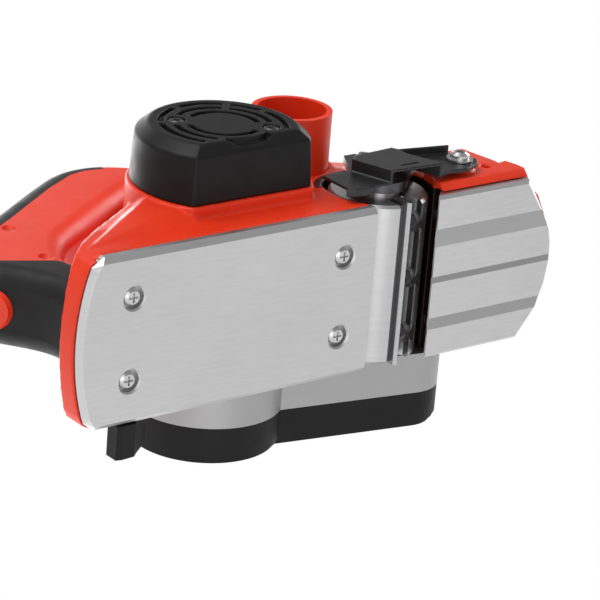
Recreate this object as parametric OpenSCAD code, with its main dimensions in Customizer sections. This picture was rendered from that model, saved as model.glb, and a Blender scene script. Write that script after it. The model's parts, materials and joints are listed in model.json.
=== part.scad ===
// Electric hand planer, 82 mm cutting width, belt driven.
// The frame has +Z up, +X towards the front shoe and +Y towards the belt cover.
// The origin lies on the rear sole, at the centre of its four screws.
// Every sub-part is drawn with X measured from the cutter drum's axis, and
// from_drum() moves it to its place.

/* [Soles] */
// Width of the rear sole and the front shoe, the planing width
base_w = 82; // [80:0.5:84]
// Thickness of the rear sole plate
sole_t = 6; // [5:0.5:6]
// Distance from the drum's axis back to the rear sole's front edge
mouth_rear = 19.2; // [18.6:0.1:20]
// Distance from the drum's axis forward to the shoe's rear edge
mouth_front = 17.7; // [17.5:0.1:19]
// Distance from the drum's axis back to the tip of the rear sole
sole_rear = 181.7; // [180:0.5:183]
// Distance from the drum's axis forward to the tip of the shoe
shoe_front = 92.7; // [90:0.5:94]
// Thickness of the front shoe
shoe_t = 8; // [7:0.5:8]
// Travel of the front shoe, the greatest depth of cut
shoe_travel = 2.6; // [2:0.1:2.6]
// Width of the bevel round the soles
sole_bevel = 2.6; // [1.5:0.1:3]

/* [Cutter drum] */
// Radius of the cutting circle
cut_r = 24.45; // [24:0.05:24.45]
// Radius of the drum's body
drum_r = 23.7; // [23:0.1:23.8]
// Radius of the drum's shaft
drum_shaft_r = 6; // [5.5:0.5:6]
// Radius of the drum's pulley
drum_pulley_r = 8.5; // [8:0.1:8.5]

/* [Motor] */
// Distance from the drum's axis back to the motor's axis
motor_back = 75; // [74:0.5:76]
// Height of the motor's axis
motor_z = 49; // [48:0.5:50]
// Radius of the motor cap at its rim
cap_r = 42; // [41:0.5:42.5]
// Distance from the motor's axis down to the flat of the cap
cap_flat = 26; // [25:0.5:27]
// Distance of the grille's face from the middle plane
cap_face = 75; // [74:0.5:76]
// Radius of the motor's pulley
motor_pulley_r = 5.3; // [5:0.05:5.4]

/* [Belt side] */
// Distance from the middle plane to the silver housing's outer edge
belt_split = 61.5; // [60:0.5:63]
// Distance from the middle plane to the cover's outer face
belt_face = 80; // [78:0.5:82]
// Radius of the belt housing round the motor
bulge_r = 37.5; // [37:0.5:38]

/* [Handle] */
// Width of the red handle shells
handle_w = 38; // [36:1:40]
// Travel of the trigger
trigger_travel = 6; // [4:0.5:6]
// Travel of the lock-off button
lock_travel = 3; // [2:0.5:3]

/* [Chip outlet] */
// Outer radius of the chip outlet
outlet_r = 19.4; // [18:0.2:19.4]
// Inner radius of the chip outlet
outlet_bore_r = 16.6; // [15:0.2:17]
// Distance of the outlet's mouth from the middle plane
outlet_end = 66.5; // [60:0.5:68]

/* [Hidden] */
$fn = 64;

red = [0.86, 0.20, 0.09];
black = [0.13, 0.13, 0.14];
silver = [0.72, 0.72, 0.73];
steel = [0.60, 0.61, 0.62];
dark_steel = [0.34, 0.34, 0.35];
copper = [0.72, 0.42, 0.22];
brass = [0.78, 0.66, 0.34];

// Clearances
fit = 0.05;
gap = 0.4;

// Places measured from the drum's axis and from the sole
drum_x = 95;
drum_z = 24.5;
half_w = base_w / 2;
side_y = half_w + 0.5;
belt_seat = half_w;
motor_x = -motor_back;
screw_x = [-153.5, -36.5];
screw_y = 19.8;
outlet_x = -15.5;
outlet_z = 74.8;
spindle_x = 52;
knob_z0 = 64;
post_places = [[30, -27], [30, 27], [74, -21], [74, 21]];
fence_x = 59.5;
fence_z = 17;
fence_face = half_w + 4;
pivot_x = 44;
pivot_z = 19;
guard_y = half_w + 6.6;
guard_t = 1.4;
guard_rise = 5;
foot_x = -139;
foot_z = 17;
collar_y = 47.5;

// Radius of the rear sole's tail in plan
tail_r = 115;

// The drum's blade pockets, bearing journal and blade bolts
pocket_floor = 12.5;
journal_r = 5;
bolt_y = [-28, 0, 28];
block_screw_places = [[12, 52], [26, 40]];

// The belt's track, the belt housing's outline and its screws
belt_y = [58.5, 70.5];
front_end = [24, 24.8];
front_r = 18.8;
strap_r = 24.6;
housing_screw_places = [[-104.6, 38.2], [-47.7, 33.3], [34, 20]];
cover_screw_places = [[-105.6, 49], [-58, 74.3], [33, 30]];

// The motor cap's wall and screws, measured from the motor's axis
cap_wall = 2.6;
cap_screw_places = [[-17, 13.5], [17, -13.5]];

// The handle's arm runs up and forward at this slope
arm_angle = 33;
trigger_mid = [-88, 114];
lock_place = [-116, 124];
handle_screw_places = [[-28, 122], [-58, 143], [-156, 100], [-160, 62]];

module from_drum() { translate([drum_x, 0, 0]) children(); }

// Extrudes an outline drawn in X and Z along Y, from y0 to y1
module along_y(y0, y1) {
    translate([0, y1, 0]) rotate([90, 0, 0]) linear_extrude(y1 - y0) children();
}

// Extrudes an outline drawn in Y and Z along X, from x0 to x1
module along_x(x0, x1) {
    translate([x0, 0, 0]) rotate([90, 0, 90]) linear_extrude(x1 - x0) children();
}

// A round bar along Y
module rod_y(r, y0, y1, x = 0, z = 0) {
    translate([x, y0, z]) rotate([-90, 0, 0]) cylinder(r = r, h = y1 - y0);
}

// A cone along Y, from radius ra at y0 to radius rb at y1
module cone_y(ra, rb, y0, y1, x = 0, z = 0) {
    translate([x, y0, z]) rotate([-90, 0, 0]) cylinder(r1 = ra, r2 = rb, h = y1 - y0);
}

// A ring along Y
module ring_y(ro, ri, y0, y1, x = 0, z = 0) {
    difference() {
        rod_y(ro, y0, y1, x, z);
        rod_y(ri, y0 - 1, y1 + 1, x, z);
    }
}

module block(x0, x1, y0, y1, z0, z1) {
    translate([x0, y0, z0]) cube([x1 - x0, y1 - y0, z1 - z0]);
}

// Deep-groove bearing on the Y axis
module bearing(ri, ro, y0, y1, x, z) {
    mid = (y0 + y1) / 2;
    r = (ri + ro) / 2;
    difference() {
        rod_y(ro, y0, y1, x, z);
        rod_y(ri, y0 - 1, y1 + 1, x, z);
        ring_y(r + 1.6, r - 1.6, y0 - 1, y0 + 0.6, x, z);
        ring_y(r + 1.6, r - 1.6, y1 - 0.6, y1 + 1, x, z);
    }
}

// ---------------------------------------------------------------- soles

function tail_x(y, grow) =
    tail_r - sole_rear - sqrt(pow(tail_r + grow, 2) - y * y) + pow(max(0, abs(y) - half_w + 5), 2) * 0.2;

// Plan outline of the rear sole, grown outwards at the sides and the tail
module sole_outline(grow, front) {
    steps = 20;
    w = half_w + grow;
    polygon(concat(
        [[-mouth_rear + front, -w], [-mouth_rear + front, w]],
        [for (i = [0:steps]) let (y = w - i * 2 * w / steps) [tail_x(y, grow), y]]));
}

module screw_places() {
    for (x = screw_x, y = [-screw_y, screw_y]) translate([x, y, 0]) children();
}

module rear_sole() {
    color(silver) from_drum() difference() {
        hull() {
            linear_extrude(0.01) sole_outline(-sole_bevel, 0);
            translate([0, 0, sole_bevel]) linear_extrude(sole_t - sole_bevel) sole_outline(0, 0);
        }
        screw_places() {
            translate([0, 0, -1]) cylinder(r = 2.3, h = sole_t + 2);
            translate([0, 0, -1]) cylinder(r = 5.3, h = 4.2);
            translate([0, 0, -0.01]) cylinder(r1 = 6.15, r2 = 5.3, h = 0.85);
        }
    }
}

// Pan-head screw standing head down
module pan_screw(head_r, head_h, shank_r, length) {
    difference() {
        union() {
            cylinder(r1 = head_r * 0.72, r2 = head_r, h = head_h * 0.4);
            translate([0, 0, head_h * 0.4]) cylinder(r = head_r, h = head_h * 0.6);
            cylinder(r = shank_r, h = head_h + length);
        }
        for (a = [0, 90]) rotate([0, 0, a])
            translate([-head_r * 0.55, -head_r * 0.11, -1])
                cube([head_r * 1.1, head_r * 0.22, 1 + head_h * 0.55]);
    }
}

module sole_screws() {
    color(steel) from_drum() screw_places()
        translate([0, 0, 0.8]) pan_screw(4.3, 2.4, 2.2, 15);
}

// Plan outline of the front shoe
module shoe_outline(grow) {
    nose = shoe_front + grow;
    w = half_w + grow;
    polygon([[mouth_front, -w], [74.5 + grow, -w], [84.5 + grow, -24.5], [nose - 2.3, -14.5],
        [nose - 0.3, -6], [nose, 3.5], [nose - 1.6, 14], [nose - 5.6, 26], [76 + grow, w],
        [mouth_front, w]]);
}

// Asymmetric groove along X: a steep wall at y and a long slope beyond it
module shoe_groove(y, width, depth) {
    along_x(mouth_front - 1, shoe_front + 6)
        polygon([[y, -1], [y, 0], [y + 0.7, depth], [y + width, 0], [y + width, -1]]);
}

module front_shoe() {
    color(silver) from_drum() difference() {
        union() {
            hull() {
                linear_extrude(0.01) intersection() {
                    shoe_outline(-1.6);
                    translate([mouth_front, -half_w]) square([100, base_w]);
                }
                translate([0, 0, 1.6]) linear_extrude(shoe_t - 1.6) shoe_outline(0);
            }
            translate([spindle_x, 0, shoe_t]) cylinder(r = 9, h = 13);
        }
        shoe_groove(-24.6, 8.8, 1.9);
        shoe_groove(-0.6, 3.2, 1.2);
        shoe_groove(20.5, 5.8, 1.6);
        translate([spindle_x, 0, 4]) cylinder(r = 4 + gap, h = 30);
        for (p = post_places) translate([p[0], p[1], 3]) cylinder(r = 4, h = 10);
        // undercut that clears the cutting circle as the shoe rises
        along_y(-60, 60) polygon([[mouth_front - 1, 0.9], [mouth_front, 0.9],
            [mouth_front + 4.6 + shoe_travel, shoe_t + 0.1], [mouth_front - 1, shoe_t + 0.1]]);
    }
}

module shoe_guide_posts() {
    color(steel) from_drum() for (p = post_places)
        translate([p[0], p[1], 3]) cylinder(r = 4, h = 22);
}

// ------------------------------------------------------- depth adjustment

module depth_knob() {
    color(black) from_drum() translate([spindle_x, 0, knob_z0]) difference() {
        union() {
            rotate_extrude() polygon([[0, 0], [23, 0], [24.5, 3], [24.5, 9], [26, 14], [27, 20],
                [26.5, 27], [24, 33], [19, 37.5], [12, 40], [0, 41]]);
        }
        for (i = [0:11]) rotate([0, 0, i * 30]) translate([30.2, 0, -1]) cylinder(r = 4.4, h = 34);
        translate([0, 0, -1]) cylinder(r = 4, h = 22);
    }
}

module depth_spindle() {
    color(steel) from_drum() translate([spindle_x, 0, 0]) union() {
        translate([0, 0, 12]) cylinder(r = 4, h = knob_z0 + 8);
        translate([0, 0, 34.2]) cylinder(r = 8, h = 2.6);
    }
}

module depth_scale_ring() {
    color(silver) from_drum() translate([spindle_x, 0, 0]) difference() {
        translate([0, 0, knob_z0 - 4.4]) cylinder(r = 23, h = 4);
        translate([0, 0, knob_z0 - 6]) cylinder(r = 9, h = 8);
        for (i = [0:23]) rotate([0, 0, i * 15])
            translate([21.5, -0.25, knob_z0 - 5]) cube([3, 0.5, 6]);
    }
}

// Spring as one sleeve: its coils are finer than the model needs
module spindle_spring() {
    color(steel) from_drum() translate([spindle_x, 0, 22]) difference() {
        cylinder(r = 8, h = 11.6);
        translate([0, 0, -1]) cylinder(r = 6.2, h = 14);
    }
}

// -------------------------------------------------------------- the drum

// Places children once for each of the drum's two blades, blade side down
module each_blade() {
    for (a = [0, 180]) translate([0, 0, drum_z]) rotate([0, a, 0]) children();
}

module cutter_drum() {
    color(steel) from_drum() difference() {
        union() {
            rod_y(drum_r, -38.2, 38.7, 0, drum_z);
            cone_y(drum_r - 1.3, drum_r, -39.5, -38.2, 0, drum_z);
            cone_y(drum_r, drum_r - 1.3, 38.7, 40, 0, drum_z);
            rod_y(9.5, -41, -39, 0, drum_z);
        }
        rod_y(drum_shaft_r, -50, 50, 0, drum_z);
        each_blade() {
            block(-4.8, 0.8, -60, 60, -30, -pocket_floor);
            along_y(-60, 60) polygon([[0.7, -pocket_floor], [5, -pocket_floor], [9.2, -18],
                [9.2, -21], [8.2, -30], [0.7, -30]]);
            for (y = bolt_y) rod_x(5.2, 5, 13.5, y, -17);
        }
    }
}

// A round bar along X, at y and z
module rod_x(r, x0, x1, y, z) {
    translate([x0, y, z]) rotate([0, 90, 0]) cylinder(r = r, h = x1 - x0);
}

module drum_shaft() {
    color(steel) from_drum() union() {
        rod_y(drum_shaft_r - 0.02, -42, 56, 0, drum_z);
        rod_y(journal_r, -46, -42, 0, drum_z);
        rod_y(5, 56, 73, 0, drum_z);
    }
}

module drum_blades() {
    color(silver) from_drum() each_blade()
        along_y(-40.6, 41) polygon([[-1.1, -14], [0.7, -14], [0.7, -cut_r + 0.05], [-0.4, -cut_r + 0.02],
            [-1.1, -cut_r + 1.1]]);
}

module blade_backers() {
    color(dark_steel) from_drum() each_blade()
        block(-4.75, -1.15, -39, 39.6, -21.4, -pocket_floor - 0.05);
}

module gib_bars() {
    color(dark_steel) from_drum() each_blade() difference() {
        along_y(-39, 39.6) polygon([[0.8, -pocket_floor - 0.05], [4.4, -pocket_floor - 0.05],
            [4.4, -19.5], [3.2, -21.8], [0.8, -21.8]]);
        for (y = bolt_y) rod_x(2, 0, 6, y, -17);
    }
}

module gib_bolts() {
    color(dark_steel) from_drum() each_blade() for (y = bolt_y) {
        rod_x(1.95, 0.9, 4.5, y, -17);
        translate([4.45, y, -17]) rotate([0, 90, 0]) cylinder(r = 4.3, h = 3.4, $fn = 6);
    }
}

module bearing_block_right() {
    color(dark_steel) from_drum() difference() {
        union() {
            rod_y(13.2, -46.8, -42, 0, drum_z);
            along_y(-45.4, -42) polygon([[-10, 32], [4, 57], [17, 57], [32, 42], [30, 33], [11, 18]]);
        }
        rod_y(11, -46.2, -41, 0, drum_z);
        for (p = block_screw_places) rod_y(2, -48, -41, p[0], p[1]);
    }
}

module block_screws() {
    color(steel) from_drum() for (p = block_screw_places) translate([p[0], -47, p[1]])
        rotate([-90, 0, 0]) pan_screw(3.6, 1.6, 1.9, 14);
}

module drum_bearing_right() {
    color(steel) from_drum() bearing(journal_r + 0.03, 11, -46.15, -42.1, 0, drum_z);
}

module drum_bearing_left() {
    color(steel) from_drum() bearing(drum_shaft_r + 0.03, 11.5, 43.5, 51, 0, drum_z);
}

// ------------------------------------------------------------- belt drive

// Pulley with two flanges and fine grooves round the belt's track
module pulley(r, bore, y0, y1, x, z) {
    difference() {
        union() {
            rod_y(r, y0, y1, x, z);
            rod_y(r + 1, y0, y0 + 1, x, z);
            rod_y(r + 1, y1 - 1, y1, x, z);
        }
        rod_y(bore, y0 - 1, y1 + 1, x, z);
    }
}

module drum_pulley() {
    color(steel) from_drum() pulley(drum_pulley_r, 5, belt_y[0] - 1.5, belt_y[1] + 1.5, 0, drum_z);
}

module motor_pulley() {
    color(steel) from_drum()
        pulley(motor_pulley_r, 3.5, belt_y[0] - 1.5, belt_y[1] + 1.5, motor_x, motor_z);
}

// Outline of a strap round two circles: a at the motor's axis and b at c
module strap(a, b, c) {
    m = [motor_x, motor_z];
    d = c - m;
    base = atan2(d[1], d[0]);
    lean = acos((a - b) / norm(d));
    steps = 20;
    far = [for (i = [0:steps]) let (t = base + lean - i * 2 * lean / steps) c + b * [cos(t), sin(t)]];
    near = [for (i = [0:steps]) let (t = base - lean - i * (360 - 2 * lean) / steps)
        m + a * [cos(t), sin(t)]];
    polygon(concat(far, near));
}

module drive_belt() {
    color(black) from_drum() along_y(belt_y[0], belt_y[1]) difference() {
        strap(motor_pulley_r + 2, drum_pulley_r + 2, [0, drum_z]);
        strap(motor_pulley_r + 0.4, drum_pulley_r + 0.4, [0, drum_z]);
    }
}

// Outline of the belt housing, less the given wall
module belt_outline(wall) {
    translate([motor_x, motor_z]) circle(bulge_r - wall);
    strap(strap_r - wall, front_r - wall, front_end);
}

module belt_housing() {
    color(silver) from_drum() difference() {
        union() {
            difference() {
                along_y(belt_seat + 0.1, belt_split) belt_outline(0);
                along_y(belt_seat + 2.4, belt_split + 1) belt_outline(2);
            }
            rod_y(14, belt_seat + 1, 51.5, 0, drum_z);
            rod_y(14.5, belt_seat + 1, 52, motor_x, motor_z);
            for (p = cover_screw_places) rod_y(5.2, belt_seat + 1, belt_split, p[0], p[1]);
        }
        rod_y(11.5, 43.45, 60, 0, drum_z);
        rod_y(8, 40, 60, 0, drum_z);
        rod_y(11, 43.95, 60, motor_x, motor_z);
        rod_y(7, 40, 60, motor_x, motor_z);
        for (p = cover_screw_places) rod_y(1.9, 50, 70, p[0], p[1]);
        for (p = housing_screw_places) rod_y(2.2, 40, 46, p[0], p[1]);
    }
}

module belt_housing_screws() {
    color(steel) from_drum() for (p = housing_screw_places) translate([p[0], belt_seat + 4.4, p[1]])
        rotate([90, 0, 0]) pan_screw(3.6, 2, 1.9, 10);
}

module belt_cover() {
    color(black) from_drum() difference() {
        union() {
            along_y(belt_split + 0.05, belt_face - 4) belt_outline(0);
            along_y(belt_face - 4, belt_face - 2) belt_outline(0.9);
            along_y(belt_face - 2, belt_face) belt_outline(2.4);
        }
        along_y(belt_split - 1, belt_face - 4.6) belt_outline(2.2);
        for (p = cover_screw_places) {
            rod_y(2.1, belt_split, belt_face + 1, p[0], p[1]);
            rod_y(4, belt_face - 2.6, belt_face + 1, p[0], p[1]);
        }
    }
}

module belt_cover_screws() {
    color(steel) from_drum() for (p = cover_screw_places) translate([p[0], belt_face - 0.4, p[1]])
        rotate([90, 0, 0]) pan_screw(3.7, 2.2, 1.8, 24);
}

// ------------------------------------------------------------------ motor

// Round outline with a flat on its sole side, centred on the motor's axis
module flatted_disc(r, flat) {
    intersection() {
        circle(r);
        translate([-r, -flat]) square([2 * r, r + flat]);
    }
}

module at_motor() { translate([motor_x, 0, motor_z]) children(); }

module motor_stator() {
    color(dark_steel) from_drum() at_motor() along_y(-24, 20) difference() {
        intersection() {
            circle(35);
            square([72, 45], center = true);
        }
        circle(19.5);
        for (s = [-1, 1]) translate([s * 24.5, 0]) square([8, 26], center = true);
    }
}

module field_coils() {
    color(copper) from_drum() at_motor() difference() {
        for (s = [-1, 1]) translate([s * 24.5, 0, 0]) block(-3.6, 3.6, -32, 28, -12.6, 12.6);
        rod_y(19.9, -40, 40);
    }
}

module armature_shaft() {
    color(steel) from_drum() at_motor() union() {
        rod_y(3.98, -64, 52.5);
        rod_y(3.48, 52.5, 73);
    }
}

module armature_core() {
    color(dark_steel) from_drum() at_motor() difference() {
        rod_y(18.8, -24, 20);
        rod_y(4, -30, 30);
        for (i = [0:11]) rotate([0, i * 30, 0]) block(16.6, 20, -30, 30, -0.9, 0.9);
    }
}

module commutator() {
    color(copper) from_drum() at_motor() difference() {
        rod_y(11.5, -54, -36);
        rod_y(4, -60, -30);
        for (i = [0:11]) rotate([0, i * 30 + 15, 0]) block(10.4, 13, -55, -35, -0.3, 0.3);
    }
}

module cooling_fan() {
    color(black) from_drum() at_motor() difference() {
        union() {
            rod_y(27, 30, 31.8);
            rod_y(9, 30, 39.5);
            for (i = [0:11]) rotate([0, i * 30, 0]) block(8, 26.4, 31, 38.5, -0.8, 0.8);
        }
        rod_y(4, 28, 42);
    }
}

module motor_bearing_cap_side() {
    color(steel) from_drum() at_motor() bearing(4.01, 11, -64, -57, 0, 0);
}

module motor_bearing_belt_side() {
    color(steel) from_drum() at_motor() bearing(4.01, 11, 44, 51, 0, 0);
}

module brush_holders() {
    color(brass) from_drum() at_motor() for (s = [0, 180]) rotate([0, s, 0]) difference() {
        block(12.2, 34, -48.5, -41.5, -4.6, 4.6);
        block(11, 33, -47.2, -42.8, -3.4, 3.4);
    }
}

module carbon_brushes() {
    color(dark_steel) from_drum() at_motor() for (s = [0, 180]) rotate([0, s, 0]) difference() {
        block(10.5, 24, -47.1, -42.9, -3.3, 3.3);
        rod_y(11.6, -60, -30);
    }
}

module brush_springs() {
    color(steel) from_drum() at_motor() for (s = [0, 180]) rotate([0, s, 0])
        translate([24, -45, 0]) rotate([0, 90, 0]) cylinder(r = 1.9, h = 8.9);
}

module motor_cap() {
    color(black) from_drum() at_motor() difference() {
        union() {
            along_y(-collar_y - 11, -collar_y) flatted_disc(cap_r, cap_flat);
            along_y(-cap_face + 4.5, -collar_y - 11) flatted_disc(cap_r - 0.5, cap_flat - 0.5);
            intersection() {
                along_y(-cap_face, -cap_face + 4.5) flatted_disc(cap_r - 1, cap_flat - 1);
                cone_y(33, cap_r - 1, -cap_face, -cap_face + 4.5);
            }
        }
        along_y(-cap_face + cap_wall, -collar_y + 1) flatted_disc(cap_r - 3.6, cap_flat - 3.6);
        cap_grille();
        for (p = cap_screw_places) {
            rod_y(2.2, -cap_face - 1, -60, p[0], p[1]);
            rod_y(4.2, -cap_face - 1, -cap_face + 1.8, p[0], p[1]);
        }
    }
    color(black) from_drum() at_motor() {
        ring_y(14, 11, -cap_face + cap_wall - 0.5, -57);
        for (p = cap_screw_places) ring_y(4.8, 2.2, -cap_face + cap_wall - 0.5, -57, p[0], p[1]);
    }
}

// Three concentric rows of slots, broken by spokes
module cap_grille() {
    for (r = [17.5, 23, 28.5]) difference() {
        ring_y(r + 1.5, r - 1.5, -cap_face - 1, -cap_face + cap_wall + 1);
        for (i = [0:2]) rotate([0, -40 + i * 60, 0])
            block(-40, 40, -cap_face - 2, -cap_face + cap_wall + 2, -1.5, 1.5);
        for (p = cap_screw_places) rod_y(6, -cap_face - 2, -cap_face + 8, p[0], p[1]);
    }
}

module motor_cap_screws() {
    color(dark_steel) from_drum() at_motor() for (p = cap_screw_places)
        translate([p[0], -cap_face + 0.2, p[1]]) rotate([-90, 0, 0]) pan_screw(3.8, 1.6, 1.9, 40);
}

// ---------------------------------------------------------------- housing

// Side view of the red body
module housing_side() {
    polygon([[-185, 2.8], [-185, 13], [-176, 16], [-118, 61], [-98, 84], [-62, 96], [6, 96],
        [16, 76], [22, 58], [80, 58], [86, 34], [99, 24], [99, 11.2], [mouth_front, 11.2],
        [mouth_front, 6], [-mouth_rear, 6], [-mouth_rear, 2.8]]);
}

// Cross-section of the red body, its sides leaning in towards the top
module housing_section() {
    polygon([[-side_y, 2.8], [-side_y, 30], [-38, 60], [-30, 96], [30, 96], [38, 60],
        [belt_seat, 30], [belt_seat, 2.8]]);
}

// Plan of the red body: the sole's tail at the back and a blunt nose in front
module housing_plan() {
    intersection() {
        union() {
            sole_outline(1.3, 60);
            translate([-20, -side_y - 6]) square([60, 2 * side_y + 12]);
        }
        translate([-200, -side_y]) square([300, side_y + belt_seat]);
    }
    polygon([[30, -side_y], [76, -side_y], [91, -27], [97.5, -14], [99, 0], [97.5, 14], [91, 27],
        [76, belt_seat], [30, belt_seat]]);
}

module main_housing() {
    color(red) from_drum() difference() {
        union() {
            intersection() {
                along_y(-70, 70) housing_side();
                along_x(-200, 120) housing_section();
                linear_extrude(120) housing_plan();
            }
            at_motor() along_y(-collar_y + 0.05, -20) flatted_disc(cap_r + 1.5, cap_flat + 1.2);
            rod_y(outlet_r + 2.6, -38.5, -20, outlet_x, outlet_z);
            fence_flange();
            nose_skirt();
            gusset();
            along_y(28, belt_seat + 0.05) belt_outline(1.5);
            along_y(-42, -30) polygon([[2, 48], [6, 58], [18, 58], [33, 43], [33, 30], [20, 30]]);
        }
        translate([0, 0, -1]) linear_extrude(1 + sole_t) sole_outline(fit, 5);
        // drum chamber and mouth
        rod_y(26.5, -60, 60, 0, drum_z);
        block(-mouth_rear - 0.5, mouth_front, -60, 60, -1, drum_z);
        block(mouth_front - 0.01, 120, -side_y - 0.05, 60, -1, 11.2);
        // motor tunnel
        at_motor() along_y(-60, 29) flatted_disc(38, cap_flat - 2.6);
        at_motor() rod_y(29, 28, 60);
        // chip duct and the outlet's seat
        block(-32, 1, -29.9, 30, 40, 90);
        rod_y(outlet_r + fit, -60, -29.9, outlet_x, outlet_z);
        // hollow tail and nose
        along_y(-36, 36) polygon([[-168, sole_t + 4], [-152, sole_t + 18], [-124, 46], [-116, 46],
            [-116, sole_t + 4]]);
        nose_hollows();
        screw_places() cylinder(r = 2.2 + fit, h = 19);
        for (p = post_places) translate([p[0], p[1], 5]) cylinder(r = 4 + fit, h = 26);
        translate([spindle_x, 0, 5]) cylinder(r = 9.6, h = 31.9);
        translate([spindle_x, 0, 30]) cylinder(r = 4 + fit, h = 60);
        // screw holes
        for (p = block_screw_places) rod_y(1.95, -50, -30, p[0], p[1]);
        for (p = housing_screw_places) rod_y(1.95, 30, 50, p[0], p[1]);
        for (p = cap_screw_places) at_motor() rod_y(1.95, -60, -20, p[0], p[1]);
        rod_y(2.5, -60, -fence_face + 12, fence_x, fence_z);
        rod_y(2.5, -60, -fence_face + 9, pivot_x, pivot_z);
        rod_y(2, 30, 60, foot_x, foot_z);
    }
}

// Weight-saving hollows on both sides of the depth spindle
module nose_hollows() {
    for (s = [-1, 1]) {
        y = s * 19.5;
        block(38, 68, y - 8, y + 8, 30.5, 54);
    }
}

// Flange beside the shoe that carries the fence and the rabbet guard
module fence_flange() {
    intersection() {
        along_y(-fence_face, -side_y + 1) polygon([[23, 2], [23, 22], [34, 27], [52, 27], [60, 25],
            [65, 22.3], [68, 18.5], [74, 19.7], [75.5, 14], [76, 2]]);
        along_x(0, 100) polygon([[-side_y - 0.1, 3.6], [-fence_face, 6.8], [-fence_face, 27],
            [-side_y, 30], [-side_y + 1, 30], [-side_y + 1, 11.2], [-side_y + 0.05, 11.2],
            [-side_y + 0.05, 3.6]]);
    }
    rod_y(7, -guard_y + 0.8, -side_y, pivot_x, pivot_z);
}

// Skirt that runs round the shoe's right front corner
module nose_skirt() {
    translate([0, 0, 3]) linear_extrude(9) polygon([[74, -side_y], [80.6, -side_y], [89.5, -25],
        [93.5, -15.5], [91.3, -15.2], [85.5, -24.7], [75.4, -side_y]]);
}

// Gusset that leads from the sole's rear corner up to the motor collar
module gusset() {
    hull() for (p = [[-171, -41.4, 13], [-106, -41.4, 18.5], [-117.6, -46.8, 46], [-112, -46.8, 28],
        [-171, -36, 13], [-106, -36, 18.5], [-117.6, -36, 60]]) translate(p) cube(0.05);
}

module chip_outlet() {
    color(red) from_drum() difference() {
        rod_y(outlet_r, -outlet_end, -30, outlet_x, outlet_z);
        rod_y(outlet_bore_r, -outlet_end - 1, -20, outlet_x, outlet_z);
    }
}

// ----------------------------------------------------------------- handle

// Side view of the handle's shells, with the finger opening
module handle_side() {
    polygon([[4, 96.05], [-6, 112], [-30, 136], [-56, 156], [-72, 163.5], [-92, 162], [-112, 150],
        [-150, 123], [-186, 99], [-205, 87], [-210, 81], [-204, 77.4], [-181, 66.4],
        [-152, 52.5], [-149.5, 60], [-146, 68], [-139, 78], [-130, 86], [-62, 131],
        [-50, 131], [-43, 124], [-43, 110], [-50, 103], [-58.4, 100], [-66, 97.5],
        [-62, 96.05]]);
}

module trigger_slot() {
    translate([trigger_mid[0], 0, trigger_mid[1]]) rotate([0, -arm_angle, 0])
        block(-20, 20, -8.4, 8.4, -12, 18 + trigger_travel);
}

module handle_shell(y0, y1) {
    difference() {
        along_y(y0, y1) handle_side();
        // hollow that holds the switch
        along_y(-handle_w / 2 + 3, handle_w / 2 - 3) polygon([[-44, 134], [-66, 151], [-80, 154],
            [-112, 138], [-150, 112], [-186, 90], [-196, 83], [-182, 74], [-160, 66], [-148, 80],
            [-132, 92], [-62, 137]]);
        trigger_slot();
        along_y(y0 - 1, y1 + 1) top_band(0);
        along_y(y0 - 1, y1 + 1) top_band(-1);
        inlet_axis() translate([0, 0, -9.4]) cylinder(r = 8.4, h = 12);
        for (p = handle_screw_places) {
            rod_y(1.95, -20, 20, p[0], p[1]);
            rod_y(3.6, -20, -handle_w / 2 + 4, p[0], p[1]);
        }
        rod_y(6.4, 0, 20, lock_place[0], lock_place[1]);
    }
}

module handle_shell_right() {
    color(red) from_drum() union() {
        handle_shell(-handle_w / 2, 0);
        for (p = handle_screw_places) handle_boss(p, -handle_w / 2 + 2, 0);
    }
}

module handle_shell_left() {
    color(red) from_drum() union() {
        handle_shell(0.02, handle_w / 2);
        for (p = handle_screw_places) handle_boss(p, 0.02, handle_w / 2 - 2);
    }
}

module handle_boss(p, y0, y1) {
    ring_y(4.6, 1.95, max(y0, -handle_w / 2 + 4), y1, p[0], p[1]);
}

module handle_screws() {
    color(steel) from_drum() for (p = handle_screw_places)
        translate([p[0], -handle_w / 2 + 1.6, p[1]]) rotate([-90, 0, 0]) pan_screw(3.4, 2.4, 1.9, 26);
}

// Soft band along the top of the arm
module top_band(grow) {
    polygon([[-66, 168], [-70, 155 - grow], [-82, 157.5 - grow], [-92, 155.5 - grow],
        [-112, 143.3 - grow], [-150, 116.3 - grow], [-186, 92.3 - grow], [-200, 82 - grow],
        [-212, 80], [-212, 100], [-160, 140], [-110, 168]]);
}

module top_grip() {
    color(black) from_drum() along_y(-handle_w / 2 - 0.4, handle_w / 2 + 0.4) intersection() {
        polygon([[-66, 161.5], [-72, 164.5], [-92, 163], [-112, 151], [-150, 124], [-186, 100],
            [-205.5, 88], [-211, 81], [-208, 74], [-60, 70]]);
        top_band(-0.02);
    }
}

// Side view of the soft rear grip between the body's tail and the handle
module rear_grip_side() {
    polygon([[-175, 17.4], [-173.5, 24], [-174, 38], [-184, 53], [-195, 65.5], [-203, 76.4],
        [-181, 66], [-152, 52.1], [-147, 46], [-145, 40.5]]);
}

module rear_grip(y0, y1) {
    intersection() {
        difference() {
            along_y(y0, y1) rear_grip_side();
            along_y(-17, 17) polygon([[-168, 27], [-170, 38], [-180, 54], [-182, 60], [-158, 49],
                [-154, 42]]);
            inlet_axis() translate([0, 0, -30]) cylinder(r = 8.1, h = 60);
        }
        along_x(-215, -140) polygon([[-20, 10], [-22, 24], [-22, 50], [-20, 78], [20, 78],
            [22, 50], [22, 24], [20, 10]]);
    }
}

// The cord leaves square to the grip's slanted rear face
module inlet_axis() {
    translate([-189.5, 0, 59.2]) rotate([0, -131, 0]) children();
}

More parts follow.
